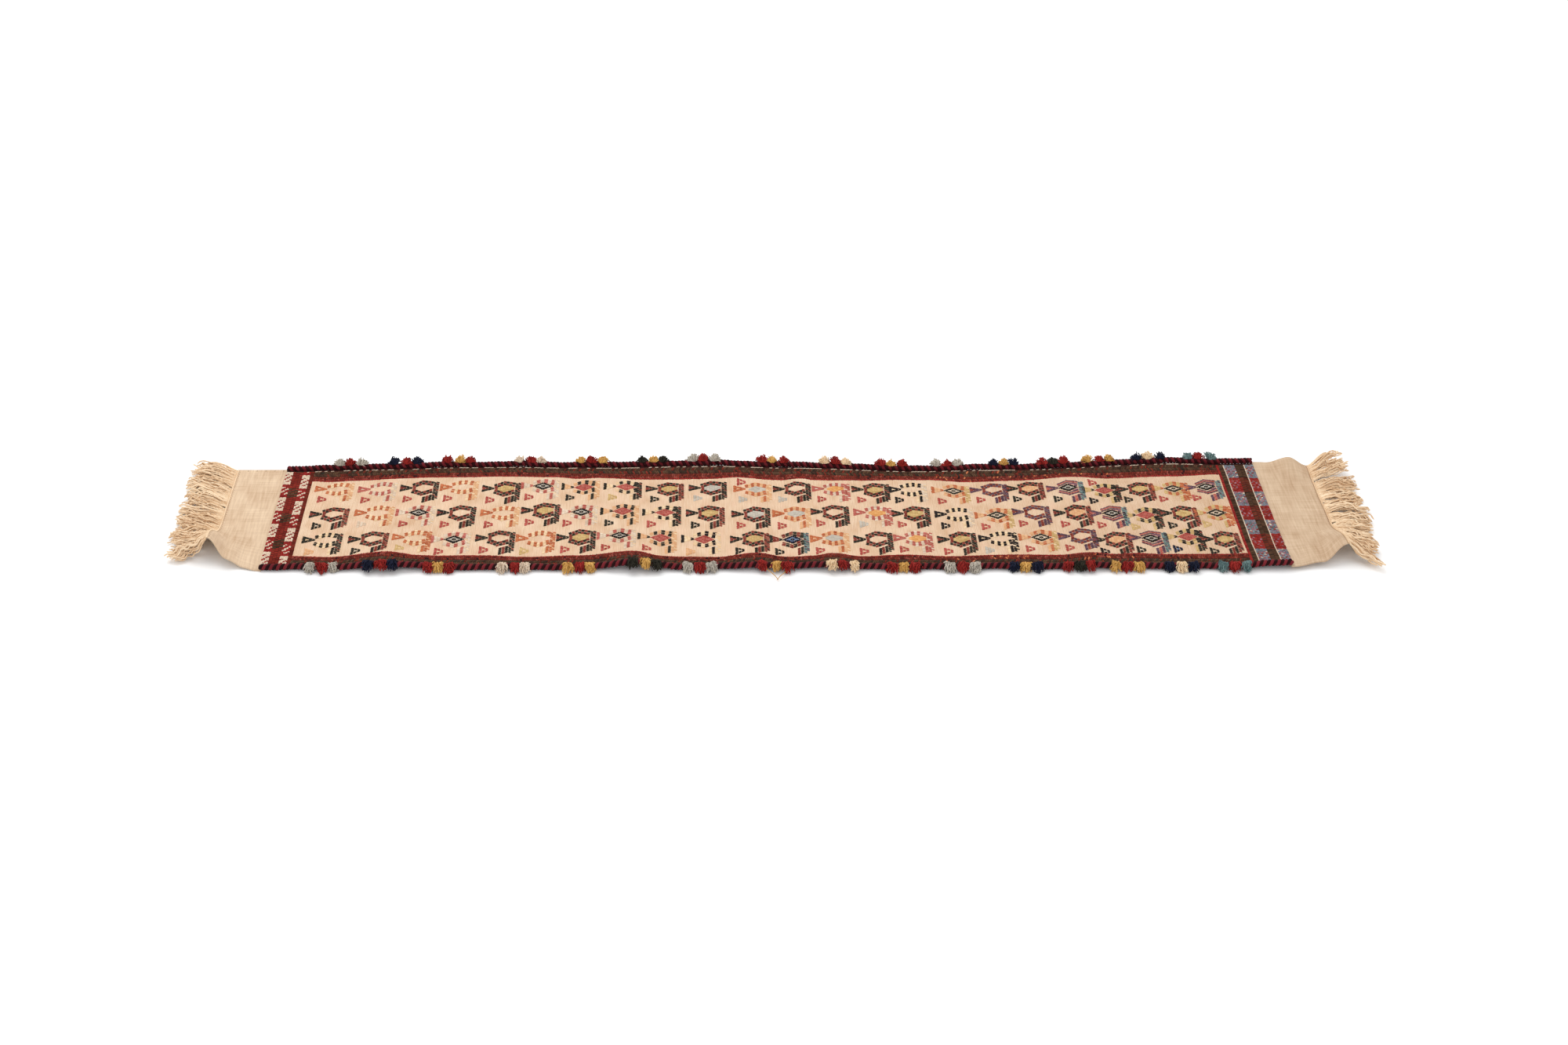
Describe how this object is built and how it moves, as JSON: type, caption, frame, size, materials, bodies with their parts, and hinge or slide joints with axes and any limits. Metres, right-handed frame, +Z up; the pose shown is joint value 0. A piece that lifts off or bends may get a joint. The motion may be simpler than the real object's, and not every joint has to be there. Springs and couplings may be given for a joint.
{
  "type": "table runner",
  "caption": "Long hand-woven wool table runner with brocaded bird motifs, woven borders, twisted edge cords, yarn tassels along both sides and fringed plain-weave ends that fold.",
  "frame": {"origin": "middle of the outer box, on the flat surface that the cloth lies on", "axes": "+X along the runner's length, from the end with grey-white checker bands to the end with slate-blue ones; +Y across its width, towards the side that the birds' backs face; +Z up, away from the table"},
  "size_m": [1.8986, 0.3508, 0.0425],
  "materials": {
    "cream_brocade": "matt hand-woven wool ground with fine ribs and coloured soumak bird motifs",
    "side_border": "matt wool soumak, a brick red and an olive brown stripe with an ivory line",
    "band_stripe": "matt wool soumak stripe, brick red and olive in blocks",
    "left_checker": "matt wool soumak blocks, grey-white and red in turn",
    "right_checker": "matt wool soumak blocks, slate blue and red in turn",
    "plain_weave": "undyed plain weave, matt with a faint slub",
    "warp_fringe": "undyed twisted warp yarn",
    "edge_cord": "two-ply twisted wool cord, red and dark maroon",
    "tassel_grey": "cut wool yarn, grey-white with a red middle tuft",
    "tassel_navy": "cut wool yarn, navy with a red, yellow or cream middle tuft",
    "tassel_red": "cut wool yarn, red with a yellow or green middle tuft",
    "tassel_yellow": "cut wool yarn, yellow with a red middle tuft",
    "tassel_green": "cut wool yarn, green with a yellow middle tuft",
    "tassel_cream": "cut wool yarn, cream with a red middle tuft",
    "tassel_teal": "cut wool yarn, teal grey with a red middle tuft"
  },
  "bodies": {
    "root": {"brocaded_field": "cream_brocade", "back_side_border": "side_border", "front_side_border": "side_border", "left_inner_stripe": "band_stripe", "left_inner_checker_band": "left_checker", "left_middle_stripe": "band_stripe", "left_outer_checker_band": "left_checker", "right_inner_stripe": "band_stripe", "right_inner_checker_band": "right_checker", "right_middle_stripe": "band_stripe", "right_outer_checker_band": "right_checker", "back_edge_cord": "edge_cord", "front_edge_cord": "edge_cord", "back_tassel_01": "tassel_grey", "back_tassel_02": "tassel_navy", "back_tassel_03": "tassel_red", "back_tassel_04": "tassel_grey", "back_tassel_05": "tassel_yellow", "back_tassel_06": "tassel_green", "back_tassel_07": "tassel_grey", "back_tassel_08": "tassel_red", "back_tassel_09": "tassel_cream", "back_tassel_10": "tassel_red", "back_tassel_11": "tassel_grey", "back_tassel_12": "tassel_navy", "back_tassel_13": "tassel_red", "back_tassel_14": "tassel_yellow", "back_tassel_15": "tassel_navy", "back_tassel_16": "tassel_teal", "front_tassel_01": "tassel_grey", "front_tassel_02": "tassel_navy", "front_tassel_03": "tassel_red", "front_tassel_04": "tassel_grey", "front_tassel_05": "tassel_yellow", "front_tassel_06": "tassel_green", "front_tassel_07": "tassel_grey", "front_tassel_08": "tassel_red", "front_tassel_09": "tassel_cream", "front_tassel_10": "tassel_red", "front_tassel_11": "tassel_grey", "front_tassel_12": "tassel_navy", "front_tassel_13": "tassel_red", "front_tassel_14": "tassel_yellow", "front_tassel_15": "tassel_navy", "front_tassel_16": "tassel_teal"},
    "left_flap": {"left_end_flap": "plain_weave", "left_fringe_heading": "warp_fringe", "left_fringe_bundle_1": "warp_fringe", "left_fringe_bundle_2": "warp_fringe", "left_fringe_bundle_3": "warp_fringe", "left_fringe_bundle_4": "warp_fringe", "left_fringe_bundle_5": "warp_fringe"},
    "right_flap": {"right_end_flap": "plain_weave", "right_fringe_heading": "warp_fringe", "right_fringe_bundle_1": "warp_fringe", "right_fringe_bundle_2": "warp_fringe", "right_fringe_bundle_3": "warp_fringe", "right_fringe_bundle_4": "warp_fringe", "right_fringe_bundle_5": "warp_fringe"}
  },
  "joints": [
    {"name": "left_flap_fold", "type": "hinge", "parent": "root", "child": "left_flap", "pos_m": [-0.777, 0, 0.008], "axis": [0, 1, 0], "range_deg": [0, 150]},
    {"name": "right_flap_fold", "type": "hinge", "parent": "root", "child": "right_flap", "pos_m": [0.792, 0, 0.012], "axis": [0, -1, 0], "range_deg": [0, 150]}
  ]
}
